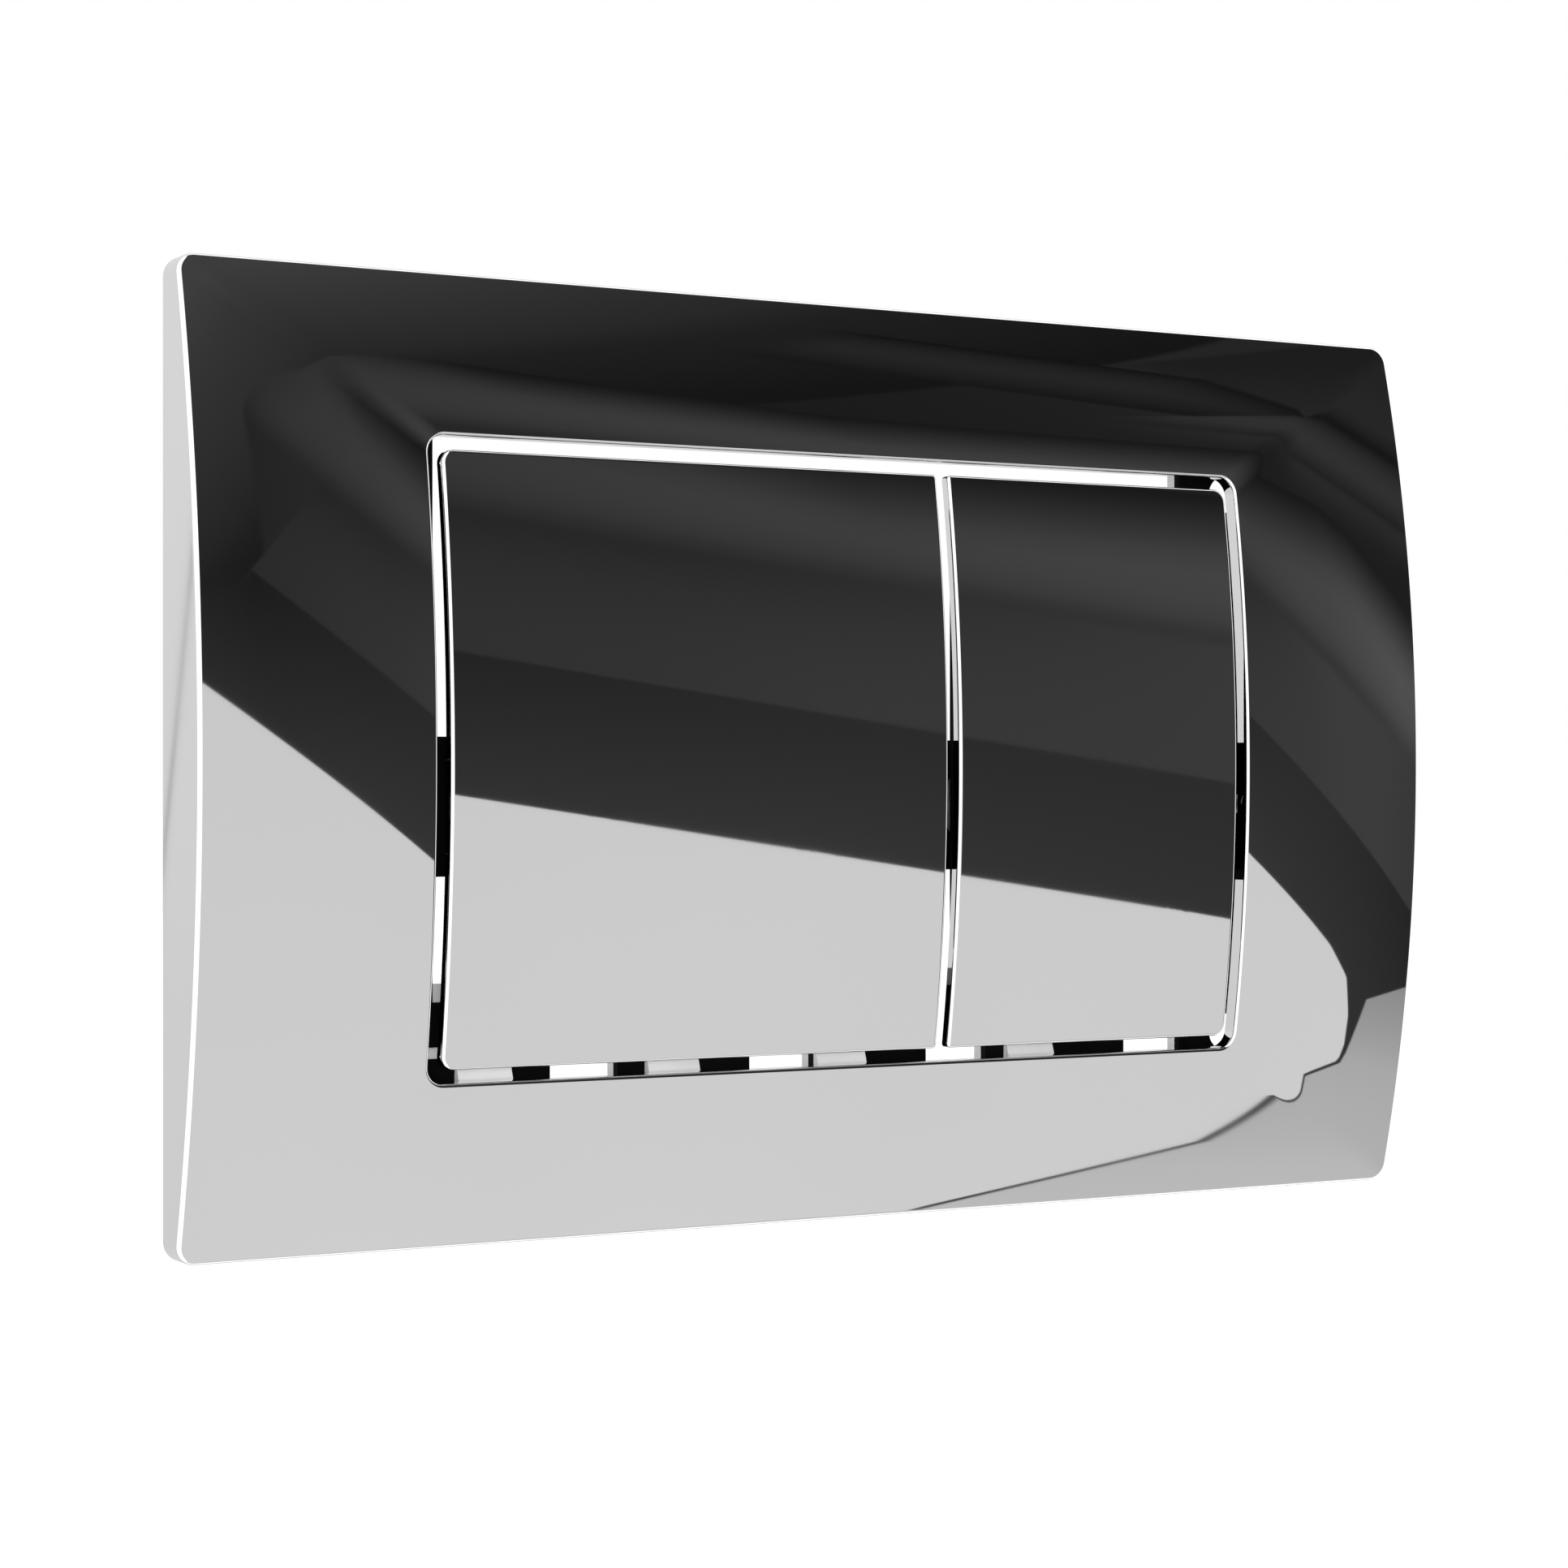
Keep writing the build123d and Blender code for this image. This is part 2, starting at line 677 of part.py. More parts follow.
# Mounting frame: flat frame in the wall opening, with a flange, rod towers, stud bosses, ears and snap hooks
with BuildPart() as mounting_frame:
    with BuildSketch(level(carrier_seat)):
        RectangleRounded(frame_width, frame_height, frame_corner_radius)
        window_cuts(frame_beam_bottom, frame_beam_top, frame_window_bottom)
        with Locations(*corner_places):
            Circle(frame_corner_hole_radius, mode=Mode.SUBTRACT)
        with Locations(*[place for place in slot_places if place[0] != left_slot_x]):
            Rectangle(slot_width, slot_height, mode=Mode.SUBTRACT)
    extrude(amount=-frame_thickness)
    with BuildSketch(level(skin_bite - frame_back)):
        RectangleRounded(frame_width, frame_height, frame_corner_radius)
        RectangleRounded(
            frame_width - 2 * frame_flange_thickness,
            frame_height - 2 * frame_flange_thickness,
            frame_corner_radius - frame_flange_thickness,
            mode=Mode.SUBTRACT,
        )
    extrude(amount=-(frame_flange_depth - frame_back + skin_bite))
    guide_seat_height = guide_seat_depth + carrier_seat
    tower_height = tower_depth + carrier_seat
    boss_height = stud_boss_depth + carrier_seat
    discs(rod_places, tower_radius, -tower_depth, tower_height)
    discs(rod_places, guide_seat_radius, -guide_seat_depth, guide_seat_height, Mode.SUBTRACT)
    discs(rod_places, guide_radius + guide_seat_gap, -tower_depth, tower_height, Mode.SUBTRACT)
    discs(stud_places, stud_boss_radius, -stud_boss_depth, boss_height)
    discs(stud_places, stud_neck_radius + stud_gap, -stud_boss_depth, boss_height, Mode.SUBTRACT)
    for side, end in ear_places:
        slab(
            tuple(sorted((side * ear_plate_inner, side * ear_plate_outer))),
            (end * ear_plate_z - ear_plate_height / 2, end * ear_plate_z + ear_plate_height / 2),
            0,
            carrier_front,
        )
    for x, z in snap_places:
        end = math.copysign(1, z)
        catch_start = -carrier_front - snap_gap
        outer = z + end * snap_thickness / 2
        inner = z - end * snap_thickness / 2
        with BuildSketch(Plane.YZ.offset(x - snap_width / 2)):
            with BuildLine():
                Polyline(
                    (skin_bite, inner),
                    (catch_start - snap_catch_length, inner),
                    (catch_start - snap_catch_length, outer),
                    (catch_start, outer + end * snap_catch),
                    (catch_start, outer),
                    (skin_bite, outer),
                    close=True,
                )
            make_face()
        extrude(amount=snap_width)
save(mounting_frame.part, "mounting_frame")


def make_push_rod(name, place):
    """Round rod from its head back through the guide to the cistern."""
    shoulder = rod_back - rod_tip_length
    with BuildPart() as rod:
        discs([place], rod_radius, -shoulder, shoulder + rod_front - rod_head_height + rod_socket_depth)
        discs([place], rod_tip_radius, -rod_back, rod_tip_length)
        chamfer(rod.faces().sort_by(Axis.Y)[-1].edges(), length=rod_chamfer)
    save(rod.part, name)


def make_rod_head(name, place):
    """Round head with a blind threaded socket for the rod."""
    with BuildPart() as head:
        discs([place], rod_head_radius, rod_front - rod_head_height, rod_head_height)
        chamfer(head.faces().sort_by(Axis.Y)[0].edges(), length=rod_head_chamfer)
        discs(
            [place],
            rod_radius + rod_thread_gap,
            rod_front - rod_head_height,
            rod_socket_depth + rod_thread_gap,
            Mode.SUBTRACT,
        )
    save(head.part, name)


def make_lock_nut(name, place):
    """Hexagon nut behind the rod head."""
    with BuildPart() as nut:
        with BuildSketch(level(rod_front - rod_head_height - lock_nut_height)):
            with Locations(place):
                RegularPolygon(lock_nut_across_flats / 2, 6, major_radius=False)
                Circle(rod_radius + rod_thread_gap, mode=Mode.SUBTRACT)
        extrude(amount=lock_nut_height)
    save(nut.part, name)


def make_rod_guide(name, place):
    """Flanged bush in the tower of the mounting frame."""
    back = tower_depth + guide_tail
    with BuildPart() as guide:
        discs([place], guide_radius, -back, back - guide_seat_depth)
        discs([place], guide_flange_radius, -guide_seat_depth, guide_flange_thickness)
        discs([place], guide_bore_radius, -back, back, Mode.SUBTRACT)
    save(guide.part, name)


for side_name, place in (("full", rod_places[0]), ("half", rod_places[1])):
    make_push_rod(f"{side_name}_push_rod", place)
    make_rod_head(f"{side_name}_rod_head", place)
    make_lock_nut(f"{side_name}_lock_nut", place)
    make_rod_guide(f"{side_name}_rod_guide", place)


def make_springs(name, places):
    """Coil springs between the beam of the carrier and a rocker."""
    length = rocker_depth - carrier_front - spring_wire - 2 * spring_seat_gap
    start = carrier_front + spring_wire / 2 + spring_seat_gap
    with BuildPart() as springs:
        for x, z in places:
            with BuildLine():
                coil = Helix(
                    length / spring_turns, length, spring_radius, center=(x, -start, z), direction=(0, -1, 0)
                )
            with BuildSketch(Plane(origin=coil @ 0, z_dir=coil % 0)):
                Rectangle(spring_wire, spring_wire)
            sweep(path=coil, is_frenet=True)
    save(springs.part, name)


make_springs("full_return_springs", full_springs)
make_springs("half_return_springs", half_springs)


def make_button_screws(name, places):
    """Round-headed screws from behind a rocker into the button's bosses."""
    with BuildPart() as screws:
        discs(
            places,
            button_screw_head_radius,
            rocker_depth - button_screw_head_height,
            button_screw_head_height,
        )
        fillet(
            screws.faces().sort_by(Axis.Y)[-len(places) :].edges(), radius=button_screw_head_height / 2
        )
        discs(places, button_screw_radius, rocker_depth, button_screw_length)
    save(screws.part, name)


make_button_screws("full_button_screws", full_screws)
make_button_screws("half_button_screws", half_screws)

# Carrier screws: countersunk, from the back through the carrier into the cover's bosses
with BuildPart() as carrier_screws:
    head_height = carrier_screw_head_radius - carrier_screw_radius
    for x, z in carrier_screw_places:
        with BuildSketch(Plane.XY.offset(z)):
            with BuildLine():
                Polyline(
                    (x, -carrier_seat),
                    (x + carrier_screw_head_radius, -carrier_seat),
                    (x + carrier_screw_radius, -carrier_seat - head_height),
                    (x + carrier_screw_radius, -carrier_seat - carrier_screw_length),
                    (x, -carrier_seat - carrier_screw_length),
                    close=True,
                )
            make_face()
        revolve(axis=Axis((x, 0, z), (0, 1, 0)))
save(carrier_screws.part, "carrier_screws")

# Fixing studs: a shoulder bears on the back of the frame's boss, and the nut and washer clamp from the front
with BuildPart() as fixing_studs:
    discs(stud_places, stud_radius, -stud_back, stud_back - stud_boss_depth)
    discs(stud_places, stud_neck_radius, -stud_boss_depth, stud_boss_depth + stud_front)
    stud_ends = fixing_studs.faces().sort_by(Axis.Y)
    chamfer((stud_ends[:2] + stud_ends[-2:]).edges(), length=stud_chamfer)
save(fixing_studs.part, "fixing_studs")

with BuildPart() as stud_washers:
    discs(stud_places, washer_radius, carrier_seat, washer_thickness)
    discs(stud_places, stud_neck_radius + stud_gap, carrier_seat, washer_thickness, Mode.SUBTRACT)
save(stud_washers.part, "stud_washers")

with BuildPart() as stud_nuts:
    with BuildSketch(level(carrier_seat + washer_thickness)):
        with Locations(*stud_places):
            RegularPolygon(nut_across_flats / 2, 6, major_radius=False)
            Circle(stud_neck_radius + rod_thread_gap, mode=Mode.SUBTRACT)
    extrude(amount=nut_height)
save(stud_nuts.part, "stud_nuts")

print("press angle", round(press_angle, 3), "bow radius", round(bow_radius, 2))
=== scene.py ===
import json
import math

import bpy
import numpy as np
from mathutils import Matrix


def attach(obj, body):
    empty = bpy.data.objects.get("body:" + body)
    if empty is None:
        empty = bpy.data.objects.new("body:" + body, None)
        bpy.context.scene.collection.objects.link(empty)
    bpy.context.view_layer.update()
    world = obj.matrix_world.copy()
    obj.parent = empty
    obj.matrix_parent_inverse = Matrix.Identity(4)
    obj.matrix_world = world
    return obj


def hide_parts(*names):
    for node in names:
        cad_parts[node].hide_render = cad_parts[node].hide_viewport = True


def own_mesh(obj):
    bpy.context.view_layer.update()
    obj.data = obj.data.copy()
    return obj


# Looks of the dual flush button plate. Helper sizes are in millimetres, meshes in metres.
# The front faces -Y, +Z is up, and the wall plane is y = 0.

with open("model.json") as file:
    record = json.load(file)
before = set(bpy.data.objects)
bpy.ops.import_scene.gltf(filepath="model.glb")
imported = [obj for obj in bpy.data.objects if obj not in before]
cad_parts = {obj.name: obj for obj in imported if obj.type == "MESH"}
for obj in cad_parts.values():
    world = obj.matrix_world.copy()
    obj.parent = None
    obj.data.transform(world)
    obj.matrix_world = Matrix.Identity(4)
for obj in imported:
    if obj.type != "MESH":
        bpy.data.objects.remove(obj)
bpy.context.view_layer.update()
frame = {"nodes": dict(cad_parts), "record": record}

MM = 0.001
DEGREES = math.degrees(1.0)

# Cover and buttons, the same sizes as in the part
COVER_WIDTH = 246.0
COVER_HEIGHT = 161.2
MID_DEPTH = 15.8
EDGE_DEPTH = 5.6
COVER_CORNER = 3.4
COVER_EDGE = 0.8
COVER_WALL = 2.2
RIM_DEPTH = 3.0
RIM_WIDTH = 2.0
RIM_EDGE = 0.55
OPENING_WIDTH = 164.0
OPENING_HEIGHT = 106.2
OPENING_CORNER = 3.05
INSIDE_CORNER = 0.3
BUTTON_HEIGHT = 101.6
BUTTON_THICKNESS = 2.0
BUTTON_EDGE = 0.65
BUTTON_CORNER = 2.4
BUTTON_SPLIT = 0.8
FULL_SPAN = (-79.7, 16.194)
HALF_SPAN = (18.494, 79.7)
SKIN_BITE = 0.4

# Ribs and bosses on the hidden side; a boss is given by radius, pilot hole, depth of its seat and of its tip
RIB_HALF = 0.6
COVER_RIB_PLACES = (97.98, 113.07)
COVER_RIB_HALF_HEIGHT = 72.0
COVER_RIB_INSET = 4.7
LEVEL_RIB_PLACES = (59.99, 73.97)
LEVEL_RIB_HALF_LENGTH = 95.0
LEVEL_RIB_DEPTH = 2.5
COVER_BOSS = (3.2, 1.45, 3.1, 6.5)
COVER_BOSS_PLACES = ((-108, -56), (-108, 56), (108, -56), (108, 56), (0, -68.03), (0, 68.03))
BUTTON_RIB_MARGIN = 6.8
BUTTON_RIB_PITCH = 13.0
BUTTON_RIB_HALF_HEIGHT = 38.0
BUTTON_RIB_INSET = 3.2
BUTTON_BOSS = (2.8, 1.25, 9.6, 13.05)
BUTTON_BOSS_HEIGHTS = (31.0, -28.0)
BUTTON_BOSS_MARGIN = 14.0

# How finely the surfaces are divided
ACROSS, BUTTON_ACROSS, ALONG = 96, 48, 84
CORNER_STEPS = 10
ROUND_STEPS = 8
FRONT_STEPS = 30
SKIN_STEPS = 8
RIB_STEPS = 24
BOSS_SIDES = 28
BUTTON_FRONT_STEPS = 16
BUTTON_BACK_STEPS = 5
BUTTON_CLOSING = 0.98

BOW_RISE = MID_DEPTH - EDGE_DEPTH
BOW_RADIUS = ((COVER_HEIGHT / 2) ** 2 + BOW_RISE**2) / (2 * BOW_RISE)
BOW_AXIS_Y = BOW_RADIUS - MID_DEPTH

# How far the polished faces of the cover lean out at its edge and in at its opening, in degrees
EDGE_LEAN = 4.0
OPENING_LEAN = -3.5


def bow_y(z, inset=0.0):
    """y of the bowed surface set in by inset, at height z."""
    return BOW_AXIS_Y - np.sqrt((BOW_RADIUS - inset) ** 2 - np.asarray(z, float) ** 2)


def outline(left, right, low, high, radii, across, along):
    """Rounded rectangle as rows of x, z, nx, nz, anticlockwise from the lower left corner."""
    r_ll, r_lr, r_ur, r_ul = radii
    corners = [
        (left + r_ll, low + r_ll, r_ll, 180.0),
        (right - r_lr, low + r_lr, r_lr, 270.0),
        (right - r_ur, high - r_ur, r_ur, 0.0),
        (left + r_ul, high - r_ul, r_ul, 90.0),
    ]
    rows = []
    for index, (cx, cz, radius, start) in enumerate(corners):
        for step in range(CORNER_STEPS + 1):
            angle = math.radians(start + 90.0 * step / CORNER_STEPS)
            nx, nz = math.cos(angle), math.sin(angle)
            rows.append((cx + radius * nx, cz + radius * nz, nx, nz))
        x0, z0, nx, nz = rows[-1]
        ncx, ncz, nradius, nstart = corners[(index + 1) % 4]
        angle = math.radians(nstart)
        x1, z1 = ncx + nradius * math.cos(angle), ncz + nradius * math.sin(angle)
        count = across if index % 2 == 0 else along
        for step in range(1, count):
            t = step / count
            rows.append((x0 + (x1 - x0) * t, z0 + (z1 - z0) * t, nx, nz))
    return np.array(rows)


def unit(v):
    """Vectors scaled to length one."""
    return v / np.linalg.norm(v, axis=1)[:, None]


def at_depth(rows, inset=0.0):
    """Points of x, z on the bow set in by inset."""
    return np.column_stack([rows[:, 0], bow_y(rows[:, 1], inset), rows[:, 1]])


def on_wall(rows):
    """Outline points on the wall plane."""
    return np.column_stack([rows[:, 0], np.zeros(len(rows)), rows[:, 1]])


def side_normals(rows, sign=1.0):
    """Normals of the flat side wall under an outline."""
    return sign * np.column_stack([rows[:, 2], np.zeros(len(rows)), rows[:, 3]])


def bow_normals(z, inset=0.0):
    """Normals of the bow at heights z."""
    s = np.asarray(z, float) / (BOW_RADIUS - inset)
    return np.column_stack([np.zeros(len(s)), -np.sqrt(1 - s**2), s])


def lean(normals, rows, degrees):
    """Front normals turned towards the outline's own normal."""
    return unit(normals + math.tan(math.radians(degrees)) * side_normals(rows))


def edge_round(rows, radius, sign, degrees):
    """Rings of a rolling-ball round from the side wall to the bow, with their normals."""
    wall = side_normals(rows, sign)
    centre_x = rows[:, 0] - radius * wall[:, 0]
    centre_z = rows[:, 1] - radius * wall[:, 2]
    centre = np.column_stack([centre_x, bow_y(centre_z, radius), centre_z])
    front = bow_normals(centre_z, radius)
    leant = lean(front, rows, degrees)

    def turn(a, b, t):
        angle = np.arccos(np.clip((a * b).sum(1), -1, 1))[:, None]
        return (np.sin((1 - t) * angle) * a + np.sin(t * angle) * b) / np.sin(angle)

    return [
        (centre + radius * turn(wall, front, i / ROUND_STEPS), turn(wall, leant, i / ROUND_STEPS))
        for i in range(ROUND_STEPS + 1)
    ]


class Shell:
    """Collects closed surfaces with a normal for every face corner."""

    def __init__(self):
        self.points = []
        self.faces = []
        self.normals = []

    def add(self, rings, strips=None, closed=False):
        """Rings of points joined by quads; ends are capped unless the rings close on themselves."""
        count = len(rings[0])
        base = sum(len(p) for p in self.points)
        for ring in rings:
            self.points.append(np.asarray(ring, float))
        stack = np.concatenate([np.asarray(r, float) for r in rings])
        faces, normals = [], []
        last = len(rings) if closed else len(rings) - 1
        for j in range(last):
            k = (j + 1) % len(rings)
            for i in range(count):
                n = (i + 1) % count
                faces.append((j * count + i, j * count + n, k * count + n, k * count + i))
                if strips is None:
                    normals.append(None)
                else:
                    first, second = strips[j]
                    normals.append((first[i], first[n], second[n], second[i]))
        if not closed:
            faces.append(tuple(range(count))[::-1])
            normals.append(None)
            faces.append(tuple((len(rings) - 1) * count + i for i in range(count)))
            normals.append(None)
        volume = 0.0
        for face in faces:
            a = stack[face[0]]
            for p, q in zip(face[1:-1], face[2:]):
                volume += np.dot(a, np.cross(stack[p], stack[q]))
        flip = volume < 0
        for face, corner in zip(faces, normals):
            if flip:
                face = face[::-1]
                corner = corner[::-1] if corner is not None else None
            if corner is None:
                p = stack[list(face)]
                around = np.cross(p - p.mean(0), np.roll(p, -1, 0) - p.mean(0)).sum(0)
                around = around / (np.linalg.norm(around) + 1e-12)
                corner = [around] * len(face)
            self.faces.append(tuple(base + v for v in face))
            self.normals.append(corner)

    def piece(self, name, body, slot, node, material):
        """The finished object, in metres, riding on its body in place of a node."""
        mesh = bpy.data.meshes.new(name)
        mesh.from_pydata((np.concatenate(self.points) * MM).tolist(), [], self.faces)
        mesh.shade_smooth()
        mesh.normals_split_custom_set([tuple(n) for corner in self.normals for n in corner])
        mesh.update()
        obj = bpy.data.objects.new(name, mesh)
        bpy.context.scene.collection.objects.link(obj)
        obj.data.materials.append(material)
        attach(obj, body)
        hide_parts(node)
        return obj


def bowed_rib(shell, x0, x1, half_height, front, back):
    """Upright rib that follows the bow on the hidden side, between two insets."""
    rings = []
    for z in np.linspace(-half_height, half_height, RIB_STEPS + 1):
        yf, yb = float(bow_y(z, front)), float(bow_y(z, back))
        rings.append([(x0, yf, z), (x1, yf, z), (x1, yb, z), (x0, yb, z)])
    shell.add(rings)


def level_rib(shell, half_length, z, front, back):
    """Level rib on the hidden side, between two values of y."""
    rings = []
    for x in (-half_length, half_length):
        low, high = z - RIB_HALF, z + RIB_HALF
        rings.append([(x, front, low), (x, front, high), (x, back, high), (x, back, low)])
    shell.add(rings)


def screw_boss(shell, x, z, radius, hole, seat, tip, root):
    """Round boss with a blind pilot hole, from its seat to its root in the skin."""
    angles = np.arange(BOSS_SIDES) * 2 * math.pi / BOSS_SIDES

    def ring(r, y):
        return np.column_stack([x + r * np.cos(angles), np.full(BOSS_SIDES, y), z + r * np.sin(angles)])

    shell.add([ring(hole, -tip), ring(hole, -seat), ring(radius, -seat), ring(radius, root)])


# Materials: noise mostly stays between its low and its high, which the colours and ranges are spread over
NOISE_LOW, NOISE_HIGH = 0.3, 0.7
NOISE_DETAIL, NOISE_ROUGHNESS = 3.0, 0.5
RELIEF_DISTANCE = 0.0001


def node_math(tree, operation, a, b=None, c=None):
    """A math node; a, b and c are sockets or numbers."""
    node = tree.nodes.new("ShaderNodeMath")
    node.operation = operation
    for index, value in enumerate((a, b, c)):
        if value is None:
            continue
        if isinstance(value, (int, float)):
            node.inputs[index].default_value = value
        else:
            tree.links.new(value, node.inputs[index])
    return node.outputs[0]


def grey(value):
    """Linear value of an sRGB grey from 0 to 255."""
    c = value / 255.0
    return c / 12.92 if c <= 0.04045 else ((c + 0.055) / 1.055) ** 2.4


def noise(tree, scale):
    """Noise in the piece's own space."""
    place = tree.nodes.new("ShaderNodeTexCoord")
    node = tree.nodes.new("ShaderNodeTexNoise")
    node.inputs["Scale"].default_value = scale
    node.inputs["Detail"].default_value = NOISE_DETAIL
    node.inputs["Roughness"].default_value = NOISE_ROUGHNESS
    tree.links.new(place.outputs["Object"], node.inputs["Vector"])
    return node.outputs["Fac"]


def spread(tree, value, low, high):
    """A noise value spread over a range."""
    node = tree.nodes.new("ShaderNodeMapRange")
    node.inputs["From Min"].default_value = NOISE_LOW
    node.inputs["From Max"].default_value = NOISE_HIGH
    node.inputs["To Min"].default_value = low
    node.inputs["To Max"].default_value = high
    tree.links.new(value, node.inputs["Value"])
    return node.outputs["Result"]


def surface(name, dark, light, scale, rough, rough_scale, bump, bump_scale, metallic=0.0, specular=0.5):
    """Material whose colour, roughness and fine relief vary with noise."""
    material = bpy.data.materials.new(name)
    material.use_nodes = True
    tree = material.node_tree
    shader = tree.nodes["Principled BSDF"]
    shader.inputs["Metallic"].default_value = metallic
    shader.inputs["Specular IOR Level"].default_value = specular
    ramp = tree.nodes.new("ShaderNodeValToRGB")
    ramp.color_ramp.elements[0].position = NOISE_LOW
    ramp.color_ramp.elements[0].color = (*dark, 1)
    ramp.color_ramp.elements[1].position = NOISE_HIGH
    ramp.color_ramp.elements[1].color = (*light, 1)
    tree.links.new(noise(tree, scale), ramp.inputs["Fac"])
    tree.links.new(ramp.outputs["Color"], shader.inputs["Base Color"])
    tree.links.new(spread(tree, noise(tree, rough_scale), *rough), shader.inputs["Roughness"])
    if bump:
        relief = tree.nodes.new("ShaderNodeBump")
        relief.inputs["Strength"].default_value = bump
        relief.inputs["Distance"].default_value = RELIEF_DISTANCE
        tree.links.new(noise(tree, bump_scale), relief.inputs["Height"])
        tree.links.new(relief.outputs["Normal"], shader.inputs["Normal"])
    return material


# Darkest and lightest colour and scale of their noise, range of roughness and its scale, strength of the
# relief and its scale, then metallic and specular where they differ from plain
LOOKS = {
    "polished_chrome": ((0.805,) * 3, (0.83,) * 3, 9.0, (0.015, 0.03), 25.0, 0, 0, 1.0),
    "black_plastic": ((0.002,) * 3, (0.004,) * 3, 60.0, (0.6, 0.72), 240.0, 0.25, 2600.0, 0.0, 0.04),
    "light_grey_plastic": ((0.65,) * 3, (0.7,) * 3, 40.0, (0.45, 0.6), 200.0, 0.2, 2200.0, 0.0, 0.3),
    "grey_rubber": ((0.66,) * 3, (0.72,) * 3, 90.0, (0.7, 0.85), 300.0, 0.35, 1800.0, 0.0, 0.2),
    "white_plastic": (
        (0.77, 0.77, 0.755), (0.82, 0.82, 0.81), 50.0, (0.35, 0.5), 200.0, 0.2, 2200.0, 0.0, 0.4,
    ),
    "grey_plastic": ((0.32, 0.33, 0.34), (0.38, 0.39, 0.4), 60.0, (0.4, 0.55), 220.0, 0.25, 2200.0, 0.0, 0.4),
    "zinc_steel": ((0.56, 0.57, 0.58), (0.66, 0.67, 0.69), 700.0, (0.22, 0.4), 900.0, 0.3, 3000.0, 1.0),
}
materials = {name: surface(name, *look) for name, look in LOOKS.items()}

for row in frame["record"]["subparts"]:
    for material_slot in frame["nodes"][row["node"]].material_slots:
        material_slot.material = materials[row["material_slot"]]


def centred(width, height, corner):
    """Outline centred on the plate, always with the same number of points."""
    return outline(-width / 2, width / 2, -height / 2, height / 2, [corner] * 4, ACROSS, ALONG)


def blend_rows(a, b, t):
    """Outline at a share t of the way from one to another."""
    rows = a + (b - a) * t
    rows[:, 2:] = unit(rows[:, 2:])
    return rows


# Cover plate: one closed skin in rings, from the outer edge at the wall over the front to the opening's edge,
# round the rim and back along the inside, with ribs and bosses behind
OUTER = centred(COVER_WIDTH, COVER_HEIGHT, COVER_CORNER)
INNER = centred(OPENING_WIDTH, OPENING_HEIGHT, OPENING_CORNER)
cover = Shell()
rings, strips = [on_wall(OUTER)], []
outer_round = edge_round(OUTER, COVER_EDGE, 1.0, EDGE_LEAN)
strips.append((side_normals(OUTER), side_normals(OUTER)))
for (point, normal), following in zip(outer_round, outer_round[1:]):
    rings.append(point)
    strips.append((normal, following[1]))
inner_round = edge_round(INNER, RIM_EDGE, -1.0, OPENING_LEAN)[::-1]
start = outer_round[-1][0][:, [0, 2]]
stop = inner_round[0][0][:, [0, 2]]
for step in range(FRONT_STEPS):
    pair = []
    for t in (step / FRONT_STEPS, (step + 1) / FRONT_STEPS):
        place = start + (stop - start) * t
        rows = np.column_stack([place, blend_rows(OUTER, INNER, t)[:, 2:]])
        degrees = EDGE_LEAN + (OPENING_LEAN - EDGE_LEAN) * t
        pair.append((at_depth(rows), lean(bow_normals(place[:, 1]), rows, degrees)))
    rings.append(pair[0][0])
    strips.append((pair[0][1], pair[1][1]))
for (point, normal), following in zip(inner_round, inner_round[1:]):
    rings.append(point)
    strips.append((normal, following[1]))
rings.append(inner_round[-1][0])
strips.append((side_normals(INNER, -1.0), side_normals(INNER, -1.0)))
rim = centred(OPENING_WIDTH + 2 * RIM_WIDTH, OPENING_HEIGHT + 2 * RIM_WIDTH, INSIDE_CORNER)
rings.append(at_depth(INNER, RIM_DEPTH))
strips.append((-bow_normals(INNER[:, 1], RIM_DEPTH), -bow_normals(rim[:, 1], RIM_DEPTH)))
rings.append(at_depth(rim, RIM_DEPTH))
strips.append((side_normals(rim), side_normals(rim)))
inside = centred(COVER_WIDTH - 2 * COVER_WALL, COVER_HEIGHT - 2 * COVER_WALL, INSIDE_CORNER)
for step in range(SKIN_STEPS):
    rows, onward = (blend_rows(rim, inside, t) for t in (step / SKIN_STEPS, (step + 1) / SKIN_STEPS))
    rings.append(at_depth(rows, COVER_WALL))
    strips.append((-bow_normals(rows[:, 1], COVER_WALL), -bow_normals(onward[:, 1], COVER_WALL)))
rings.append(at_depth(inside, COVER_WALL))
strips.append((side_normals(inside, -1.0), side_normals(inside, -1.0)))
rings.append(on_wall(inside))
to_wall = np.tile((0.0, 1.0, 0.0), (len(OUTER), 1))
strips.append((to_wall, to_wall))
cover.add(rings, strips, closed=True)
for side in (-1, 1):
    for place in COVER_RIB_PLACES:
        left, right = side * place - RIB_HALF, side * place + RIB_HALF
        bowed_rib(cover, left, right, COVER_RIB_HALF_HEIGHT, COVER_WALL - SKIN_BITE, COVER_RIB_INSET)
    for place in LEVEL_RIB_PLACES:
        skin = float(bow_y(place, COVER_WALL))
        level_rib(cover, LEVEL_RIB_HALF_LENGTH, side * place, skin - SKIN_BITE, skin + LEVEL_RIB_DEPTH)
for x, z in COVER_BOSS_PLACES:
    screw_boss(cover, x, z, *COVER_BOSS, float(bow_y(z, COVER_WALL)) - SKIN_BITE)
cover.piece("chrome_cover", "frame", "polished_chrome", "cover_plate", materials["polished_chrome"])


